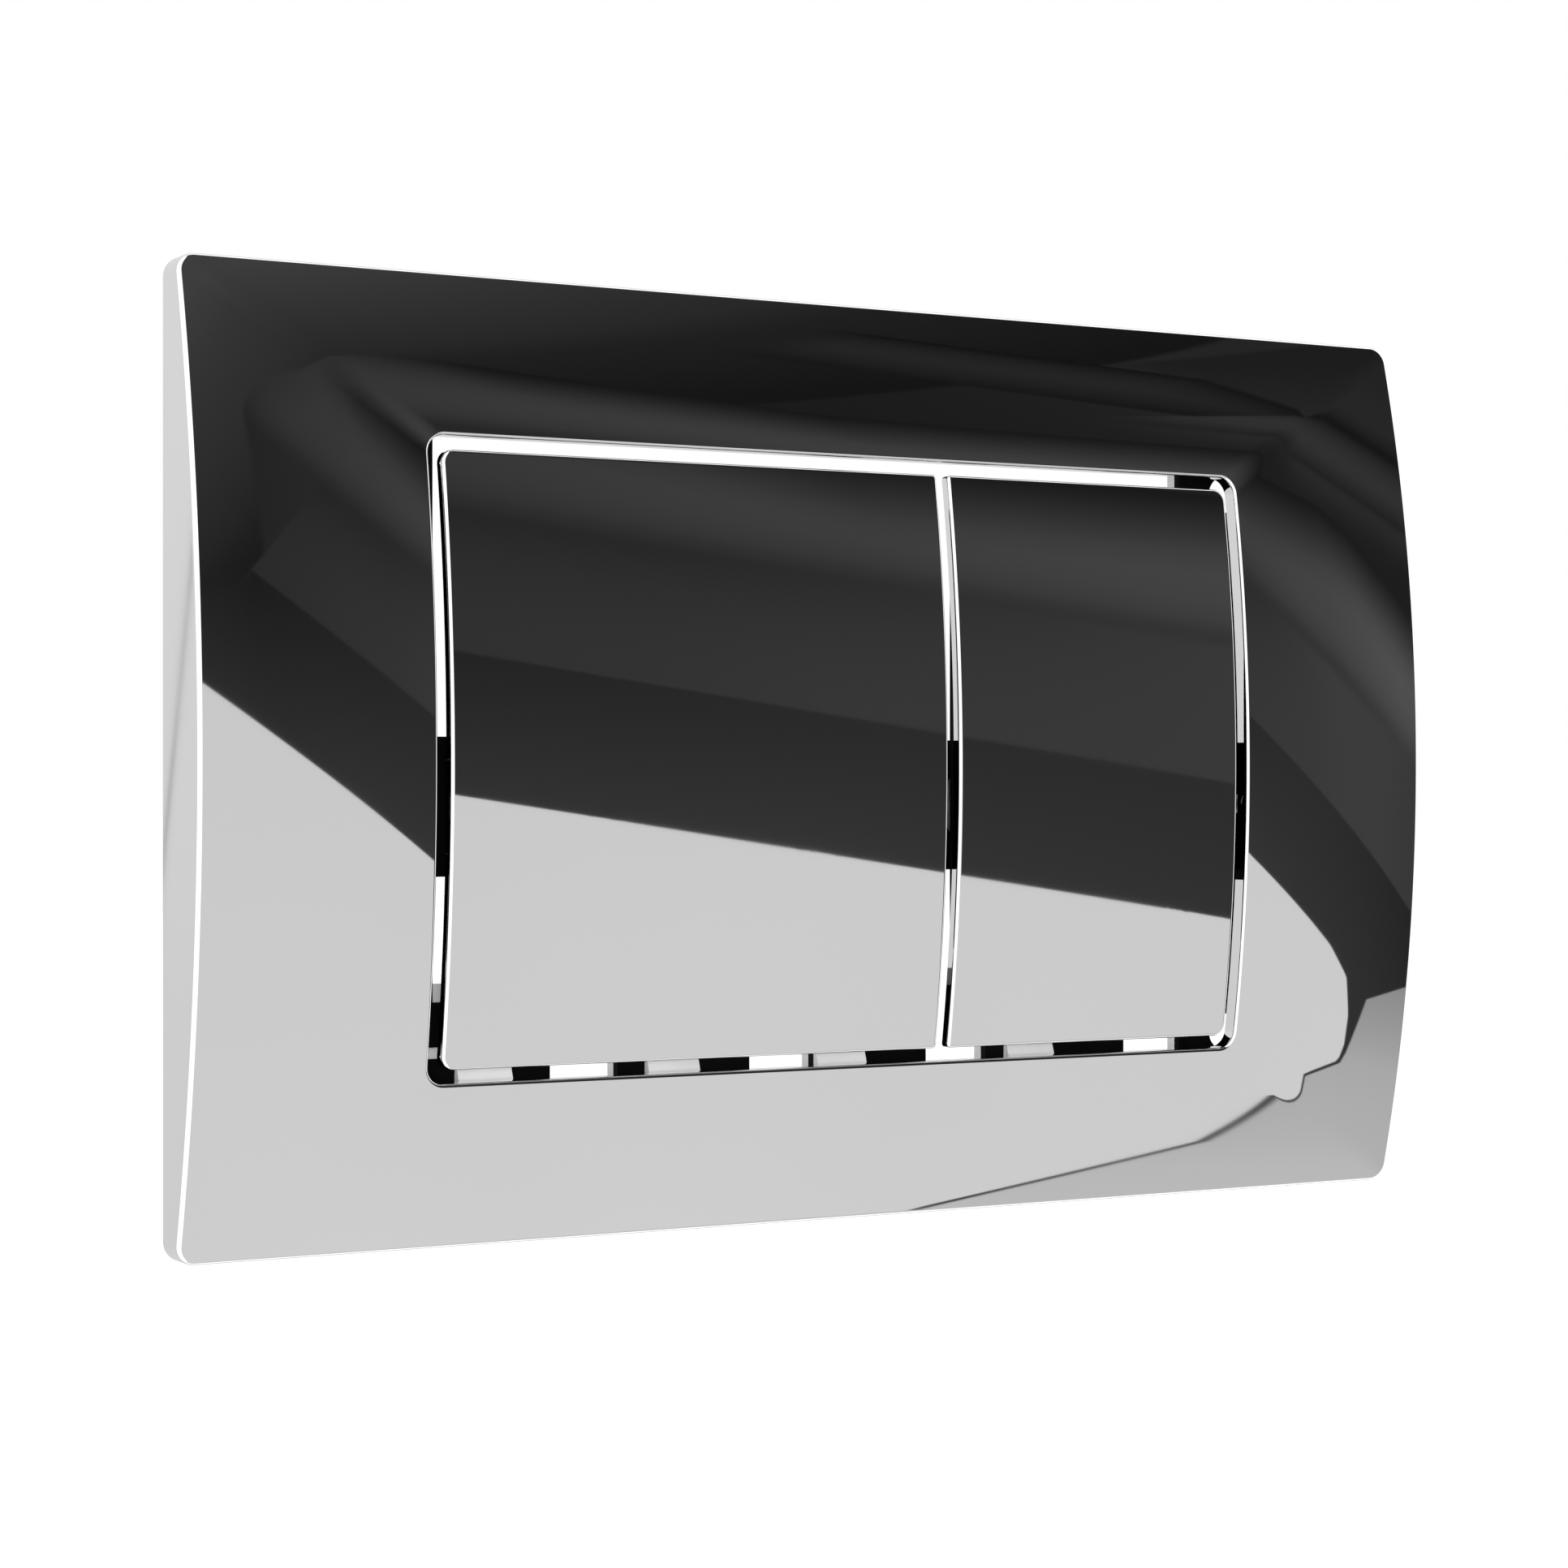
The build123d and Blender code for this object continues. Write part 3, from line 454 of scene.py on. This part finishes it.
def button(name, node, body, span, radii):
    """Bowed button over a span of x, with its back ribs and screw bosses."""
    left, right = span
    half = BUTTON_HEIGHT / 2
    rows = outline(left, right, -half, half, radii, BUTTON_ACROSS, ALONG)
    shell = Shell()
    rings = [at_depth(rows, BUTTON_THICKNESS)]
    strips = [(side_normals(rows), side_normals(rows))]
    edge = edge_round(rows, BUTTON_EDGE, 1.0, 0.0)
    for (point, normal), following in zip(edge, edge[1:]):
        rings.append(point)
        strips.append((normal, following[1]))
    middle = np.array([(left + right) / 2, 0.0])

    def shrunk(points, t):
        return middle + (points - middle) * (1 - BUTTON_CLOSING * t)

    flat = edge[-1][0][:, [0, 2]]
    for step in range(BUTTON_FRONT_STEPS + 1):
        place = shrunk(flat, step / BUTTON_FRONT_STEPS)
        rings.append(at_depth(place))
        if step < BUTTON_FRONT_STEPS:
            onward = shrunk(flat, (step + 1) / BUTTON_FRONT_STEPS)
            strips.append((bow_normals(place[:, 1]), bow_normals(onward[:, 1])))
    rear = []
    for step in range(BUTTON_BACK_STEPS + 1):
        place = shrunk(rows[:, :2], step / BUTTON_BACK_STEPS)
        rear.append((at_depth(place, BUTTON_THICKNESS), -bow_normals(place[:, 1], BUTTON_THICKNESS)))
    rings = [points for points, _ in rear[:0:-1]] + rings
    strips = [(a[1], b[1]) for a, b in zip(rear[:0:-1], rear[-2::-1])] + strips
    shell.add(rings, strips)
    count = int((right - left - BUTTON_RIB_MARGIN) / BUTTON_RIB_PITCH)
    skin = BUTTON_THICKNESS - SKIN_BITE
    for i in range(count):
        x = middle[0] + (i - (count - 1) / 2) * BUTTON_RIB_PITCH
        bowed_rib(shell, x - RIB_HALF, x + RIB_HALF, BUTTON_RIB_HALF_HEIGHT, skin, BUTTON_RIB_INSET)
    for x in (left + BUTTON_BOSS_MARGIN, right - BUTTON_BOSS_MARGIN):
        for z in BUTTON_BOSS_HEIGHTS:
            screw_boss(shell, x, z, *BUTTON_BOSS, float(bow_y(z, BUTTON_THICKNESS)) - SKIN_BITE)
    shell.piece(name, body, "polished_chrome", node, materials["polished_chrome"])


button(
    "chrome_full_button",
    "full_flush_button",
    "full_button",
    FULL_SPAN,
    [BUTTON_CORNER, BUTTON_SPLIT, BUTTON_SPLIT, BUTTON_CORNER],
)
button(
    "chrome_half_button",
    "half_flush_button",
    "half_button",
    HALF_SPAN,
    [BUTTON_SPLIT, BUTTON_CORNER, BUTTON_CORNER, BUTTON_SPLIT],
)

# Return springs: coils of round wire
FULL_SPRING_PLACES = (FULL_SPAN[0] + 20.0, FULL_SPAN[1] - 20.0)
HALF_SPRING_PLACES = (HALF_SPAN[1] - 28.7, HALF_SPAN[1] - 9.7)
SPRING_Z = -7.75
SPRING_START, SPRING_LENGTH = 2.0, 5.7
SPRING_RADIUS, WIRE_RADIUS = 2.9, 0.25
SPRING_TURNS, TURN_STEPS, WIRE_SIDES = 4, 24, 8


def coil_springs(name, node, places):
    """Two coils side by side, wound along the wall's normal."""
    shell = Shell()
    around = np.arange(WIRE_SIDES) * 2 * math.pi / WIRE_SIDES
    count = SPRING_TURNS * TURN_STEPS
    for x in places:
        wire_rings, wire_normals = [], []
        for step in range(count + 1):
            angle = 2 * math.pi * step / TURN_STEPS
            radial = np.array([math.cos(angle), 0.0, math.sin(angle)])
            depth = SPRING_START + SPRING_LENGTH * step / count
            centre = np.array([x, -depth, SPRING_Z]) + SPRING_RADIUS * radial
            normals = np.outer(np.cos(around), radial) + np.outer(np.sin(around), (0.0, 1.0, 0.0))
            wire_rings.append(centre + WIRE_RADIUS * normals)
            wire_normals.append(normals)
        shell.add(wire_rings, list(zip(wire_normals, wire_normals[1:])))
    piece = shell.piece(name, "frame", "zinc_steel", node, materials["zinc_steel"])
    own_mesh(piece)


coil_springs("full_coil_springs", "full_return_springs", FULL_SPRING_PLACES)
coil_springs("half_coil_springs", "half_return_springs", HALF_SPRING_PLACES)

# Studio: the world is white to the camera, an even light for matt surfaces, and a room of pale and dark
# panels for polished ones. Directions are in degrees: azimuth from the front (-Y) towards +X, and elevation.
MIRROR = 0.82
AMBIENT = 0.78
SIDE_GLARE = 1.15
DEEP = 100.0
BRIGHT = 255.0
SHOWN_OFFSET, SHOWN_RANGE, SHOWN_POWER = 14.0, 269.0, 2.4
world = bpy.data.worlds.new("studio")
bpy.context.scene.world = world
world.use_nodes = True
tree = world.node_tree
tree.nodes.clear()
coordinates = tree.nodes.new("ShaderNodeTexCoord")
split = tree.nodes.new("ShaderNodeSeparateXYZ")
tree.links.new(coordinates.outputs["Generated"], split.inputs[0])
dx, dy, dz = split.outputs
towards_front = node_math(tree, "MULTIPLY", dy, -1.0)
azimuth = node_math(tree, "MULTIPLY", node_math(tree, "ARCTAN2", dx, towards_front), DEGREES)
elevation = node_math(tree, "MULTIPLY", node_math(tree, "ARCSINE", dz), DEGREES)


def plus(a, b):
    """Sum of sockets or numbers."""
    return node_math(tree, "ADD", a, b)


def times(a, b):
    """Product of sockets or numbers."""
    return node_math(tree, "MULTIPLY", a, b)


def minus(a, b):
    """Difference of sockets or numbers."""
    return node_math(tree, "SUBTRACT", a, b)


def rise(slope, start_azimuth, start_elevation):
    """Elevation of a straight line over the azimuth, through one point."""
    return node_math(tree, "MULTIPLY_ADD", azimuth, slope, start_elevation - slope * start_azimuth)


def side_of(first, second):
    """Distance in degrees to the left of the line from one direction to another."""
    along_azimuth, along_elevation = second[0] - first[0], second[1] - first[1]
    length = math.hypot(along_azimuth, along_elevation)
    offset = (along_elevation * first[0] - along_azimuth * first[1]) / length
    across = node_math(tree, "MULTIPLY_ADD", elevation, along_azimuth / length, offset)
    return node_math(tree, "MULTIPLY_ADD", azimuth, -along_elevation / length, across)


def step_mask(value, low, high):
    """0 below low and 1 above high, smooth between."""
    node = tree.nodes.new("ShaderNodeMapRange")
    node.interpolation_type = "SMOOTHSTEP"
    node.inputs["From Min"].default_value = low
    node.inputs["From Max"].default_value = high
    tree.links.new(value, node.inputs["Value"])
    return node.outputs["Result"]


def over(value, stops, scale=1.0):
    """Number that follows straight pieces between stops (place, level); no level is above scale."""
    low, high = stops[0][0], stops[-1][0]
    node = tree.nodes.new("ShaderNodeValToRGB")
    ramp = node.color_ramp
    for index, (place, level) in enumerate(stops):
        position = (place - low) / (high - low)
        if index == 0:
            element = ramp.elements[0]
        elif index == len(stops) - 1:
            element = ramp.elements[len(ramp.elements) - 1]
        else:
            element = ramp.elements.new(position)
        element.position = position
        element.color = (level / scale, level / scale, level / scale, 1)
    spread_node = tree.nodes.new("ShaderNodeMapRange")
    spread_node.inputs["From Min"].default_value = low
    spread_node.inputs["From Max"].default_value = high
    tree.links.new(value, spread_node.inputs["Value"])
    tree.links.new(spread_node.outputs["Result"], node.inputs["Fac"])
    grey_value = tree.nodes.new("ShaderNodeRGBToBW")
    tree.links.new(node.outputs["Color"], grey_value.inputs["Color"])
    return times(grey_value.outputs[0], scale)


def blend_in(mask, under, upper):
    """The first number where the mask is 0 and the second where it is 1."""
    return plus(under, times(mask, minus(upper, under)))


def lower(a, b):
    """The lower of two numbers."""
    return node_math(tree, "MINIMUM", a, b)


def display(value):
    """Linear light of the room that a polished face shows as a display grey."""
    share = times(plus(value, SHOWN_OFFSET), 1 / SHOWN_RANGE)
    return times(node_math(tree, "POWER", share, SHOWN_POWER), 1 / MIRROR)


# The levels below are display greys, 0 to 255, as the polished faces show them; each later panel is laid over
# the ones before it. First the wall high up, and the wall on the left beside the first panel
high_wall = over(
    minus(elevation, rise(0.75, 28.0, 0.0)),
    [(18, 20), (21, 21), (25, 27), (28, 31), (30, 39), (32, 43), (34.5, 48), (37.5, 54), (41, 61)],
    DEEP,
)
left_edge = side_of((17.0, 13.5), (23.5, 19.2))
left_wall = over(
    left_edge,
    [(-1, 25), (0, 26), (2, 32), (3, 36), (5, 41), (7.3, 45), (9.5, 48), (12, 52), (14, 57), (16, 62)],
    DEEP,
)
level = blend_in(step_mask(azimuth, 22.0, 27.5), left_wall, high_wall)
shelf = side_of((37.2, 26.9), (32.8, 23.4))
shelf_level = over(azimuth, [(33, 27), (36, 28.5), (38.5, 31), (41, 36)], DEEP)
level = blend_in(step_mask(shelf, -0.15, 0.15), level, shelf_level)

# Two bright strips with thin dark gaps, high on the right
gap_side = times(side_of((40.3, 23.6), (34.3, 30.6)), -1.0)
far_side = lower(minus(5.35, gap_side), times(minus(42.9, azimuth), 1.2))
strip = lower(
    over(gap_side, [(0, 22), (0.6, 27), (1.5, 32), (2.5, 36), (6, 37)], DEEP),
    over(far_side, [(0, 18), (0.4, 25), (1, 31), (1.8, 35), (2.6, 37)], DEEP),
)
under_top = times(side_of((34.3, 30.6), (38.0, 34.2)), -1.0)
strip_mask = times(step_mask(gap_side, -0.3, 0.1), step_mask(under_top, -0.6, 0.9))
strip_mask = times(strip_mask, step_mask(far_side, -0.25, 0.0))
level = blend_in(strip_mask, level, strip)
corner_side = side_of((45.6, 32.5), (41.7, 30.5))
corner_wall = times(step_mask(far_side, 0.2, -0.2), step_mask(corner_side, -0.15, 0.15))
corner_level = over(elevation, [(21, 42), (24, 37), (26.5, 34), (28.5, 32), (31, 29), (34, 28)], DEEP)
level = blend_in(times(corner_wall, step_mask(azimuth, 41.0, 43.5)), level, corner_level)
above_gap = minus(elevation, rise(-0.61, 44.5, 18.6))
right_strips = over(
    above_gap,
    [
        (-4, 29), (-2.6, 32), (-1.5, 38), (-0.6, 41), (-0.2, 38), (0, 33), (0.3, 36), (0.8, 41), (1.6, 47),
        (2.5, 48.5), (3.5, 44), (4.3, 36), (4.9, 25), (5.1, 21), (5.4, 24), (6, 32), (7, 38), (8.5, 38),
        (11, 35),
    ],
    DEEP,
)
right_side = side_of((54.0, 26.8), (40.0, 23.3))
right_mask = times(step_mask(azimuth, 37.5, 41.5), step_mask(right_side, -0.1, 0.1))
level = blend_in(right_mask, level, right_strips)

# The broad bright panel: soft at its foot and towards its top
foot_height = minus(elevation, rise(-0.78, 48.0, 0.46))
top_edge = over(
    azimuth,
    [
        (17.8, 23.4), (18.3, 25), (19.3, 26.1), (21, 26.8), (24, 27.3), (27, 28.2), (33, 21.6), (35, 20.6),
        (41, 17.8), (43.3, 16), (48.6, 10.2), (56, 2),
    ],
    DEEP,
)
below_top = minus(top_edge, elevation)
panel = over(
    azimuth,
    [(18, 48), (22, 52), (25, 54), (28, 57), (31, 60.5), (37, 66), (40, 68), (43, 72.5), (47, 79)],
    DEEP,
)
panel = times(panel, over(foot_height, [(0, 0.74), (0.8, 0.81), (1.6, 0.91), (3, 0.98), (4.5, 1), (30, 1)]))
top_fade = over(below_top, [(0, 0.36), (0.5, 0.42), (1.5, 0.56), (3, 0.76), (4.5, 0.93), (6, 1), (30, 1)])
soft_end = over(below_top, [(0, 0.9), (3, 1), (30, 1)])
panel = times(panel, blend_in(step_mask(azimuth, 25.0, 28.5), soft_end, top_fade))
panel_mask = times(step_mask(below_top, -0.25, 0.15), step_mask(azimuth, 17.8, 18.6))
level = blend_in(panel_mask, level, panel)

# The first panel, between the two slanting lines
first = over(
    azimuth,
    [
        (17, 42), (20, 44), (25, 48.5), (28, 50.5), (31, 54), (34, 55.5), (37, 57), (40, 59.5), (45, 60),
        (49, 55),
    ],
    DEEP,
)
under_foot = times(foot_height, -1.0)
hang = over(under_foot, [(0, 0.76), (1.8, 0.84), (3.3, 0.9), (5, 0.94), (6.5, 0.97), (9, 1), (30, 1)])
first = times(first, blend_in(step_mask(azimuth, 29.0, 40.0), hang, 1.0))
first_mask = times(step_mask(under_foot, -0.5, 0.6), step_mask(left_edge, 0.1, -0.1))
level = blend_in(first_mask, level, first)

# The dark band over the pale floor of the room
middle_line = rise(-0.713, 17.0, 13.48)
lower_line = rise(-0.64, 0.0, 13.744)
band = node_math(tree, "DIVIDE", minus(elevation, lower_line), minus(middle_line, lower_line))
band_foot = over(azimuth, [(13, 43), (19, 45), (25, 50), (31, 52), (37, 50), (43, 48), (50, 43)], DEEP)
band_top = over(
    azimuth,
    [(13, 28), (17, 27), (22, 33), (25, 35.5), (29.5, 40), (35, 43.5), (39, 44), (43, 42), (50, 36)],
    DEEP,
)
band_level = blend_in(lower(node_math(tree, "MAXIMUM", band, 0.0), 1.0), band_foot, band_top)
valley = lower(middle_line, rise(0.275, 17.0, 13.4))
over_line = minus(elevation, valley)
wide_line, sharp_line = step_mask(over_line, 1.6, -1.2), step_mask(over_line, 0.12, -0.12)
band_mask = blend_in(step_mask(azimuth, 16.6, 17.2), wide_line, sharp_line)
level = blend_in(band_mask, level, band_level)

# The pale panel low on the right and the pale floor of the room, with a thin dark gap between them
pale_start = over(
    elevation,
    [
        (-40, 40.7), (-36, 41.2), (-27.5, 42.38), (-21.05, 41.2), (-19.75, 44.65), (-19, 45.0), (-15.3, 45.8),
        (-14.2, 49.5), (-11, 62),
    ],
    DEEP,
)
pale = over(
    elevation,
    [(-36, 186), (-31, 183), (-27, 177), (-22, 172), (-19.5, 167), (-17, 152), (-14.5, 140)],
    BRIGHT,
)
level = blend_in(step_mask(minus(azimuth, pale_start), -0.1, 0.15), level, pale)
floor_end = over(
    elevation,
    [
        (-60, 41), (-36, 41), (-27.5, 42.2), (-20.9, 41), (-19.6, 44.4), (-18.5, 44.6), (-16.5, 44.2),
        (-14, 43.1), (-12, 40.7), (-10.4, 38.1), (-6.4, 31.47), (0, 21.47), (10, 5.85), (20, 0),
    ],
    DEEP,
)
pale_floor = over(elevation, [(-40, 205), (-12, 203), (0, 201.5), (10, 201)], BRIGHT)
level = blend_in(step_mask(minus(floor_end, azimuth), -0.06, 0.06), level, pale_floor)

# The panels stand in front of the plate. The room is white at its sides, and pale behind with one thin line
front_mask = times(step_mask(azimuth, 5.0, 9.0), step_mask(azimuth, 75.0, 68.0))
room = blend_in(front_mask, grey(255) / MIRROR * SIDE_GLARE, display(level))
behind = blend_in(step_mask(elevation, -7.0, 9.0), grey(202) / MIRROR, grey(212) / MIRROR)
side_line = side_of((-160.11, -1.238), (-159.63, 3.768))
line_mask = times(step_mask(side_line, -0.035, 0.0), step_mask(side_line, 0.035, 0.0))
behind = blend_in(line_mask, behind, grey(85) / MIRROR)
room = blend_in(step_mask(dy, 0.25, 0.45), room, behind)
path = tree.nodes.new("ShaderNodeLightPath")
seen = blend_in(path.outputs["Is Glossy Ray"], AMBIENT, room)
seen = blend_in(path.outputs["Is Camera Ray"], seen, 1.0)
background = tree.nodes.new("ShaderNodeBackground")
background.inputs["Strength"].default_value = 1.0
tree.links.new(seen, background.inputs["Color"])
output = tree.nodes.new("ShaderNodeOutputWorld")
tree.links.new(background.outputs["Background"], output.inputs["Surface"])

# Floor: plain and pale, below the plate, with a little light of its own to the camera
FLOOR_Z = -0.26
FLOOR_HALF = 6.0
FLOOR_GREY = 0.82
FLOOR_GLOW = 0.45
floor_mesh = bpy.data.meshes.new("floor")
floor_corners = ((-1, -1), (1, -1), (1, 1), (-1, 1))
floor_points = [(x * FLOOR_HALF, y * FLOOR_HALF, FLOOR_Z) for x, y in floor_corners]
floor_mesh.from_pydata(floor_points, [], [(0, 1, 2, 3)])
floor = bpy.data.objects.new("floor", floor_mesh)
bpy.context.scene.collection.objects.link(floor)
floor.visible_glossy = False
floor_material = bpy.data.materials.new("floor_paint")
floor_material.use_nodes = True
tree = floor_material.node_tree
tree.nodes.clear()
paint = tree.nodes.new("ShaderNodeBsdfDiffuse")
paint.inputs["Color"].default_value = (FLOOR_GREY, FLOOR_GREY, FLOOR_GREY, 1)
glow = tree.nodes.new("ShaderNodeEmission")
glow.inputs["Color"].default_value = (1, 1, 1, 1)
path = tree.nodes.new("ShaderNodeLightPath")
glow_strength = node_math(tree, "MULTIPLY", path.outputs["Is Camera Ray"], FLOOR_GLOW)
tree.links.new(glow_strength, glow.inputs["Strength"])
both = tree.nodes.new("ShaderNodeAddShader")
tree.links.new(paint.outputs[0], both.inputs[0])
tree.links.new(glow.outputs[0], both.inputs[1])
output = tree.nodes.new("ShaderNodeOutputMaterial")
tree.links.new(both.outputs[0], output.inputs["Surface"])
floor_mesh.materials.append(floor_material)

CAMERA_PLACE = (-0.315064, -0.530978, -0.003966)
CAMERA_TURN = -30.022
FILL_PLACE = (-0.365, -0.62, -0.003966)


def area_lamp(name, size, energy, location, tilt, turn):
    """Square soft lamp that no polished face shows, with its tilt and turn in degrees."""
    data = bpy.data.lights.new(name, "AREA")
    data.shape = "SQUARE"
    data.size = size
    data.energy = energy
    lamp = bpy.data.objects.new(name, data)
    bpy.context.scene.collection.objects.link(lamp)
    lamp.location = location
    lamp.rotation_euler = (math.radians(tilt), 0, math.radians(turn))
    lamp.visible_glossy = False


# One broad soft lamp from the upper left, and a soft fill behind the camera, which reaches into the gaps
area_lamp("soft_lamp", 1.4, 9.0, (-1.1, -1.5, 1.3), 55, -36)
area_lamp("soft_fill", 0.25, 6.5, FILL_PLACE, 90, CAMERA_TURN)

# Camera, as in the photograph
camera_data = bpy.data.cameras.new("camera")
camera_data.sensor_width = 36.0
camera_data.lens = 79.763
camera = bpy.data.objects.new("camera", camera_data)
bpy.context.scene.collection.objects.link(camera)
camera.location = CAMERA_PLACE
camera.rotation_euler = (math.radians(90), 0, math.radians(CAMERA_TURN))
bpy.context.scene.camera = camera

bpy.context.scene.view_settings.view_transform = "Standard"
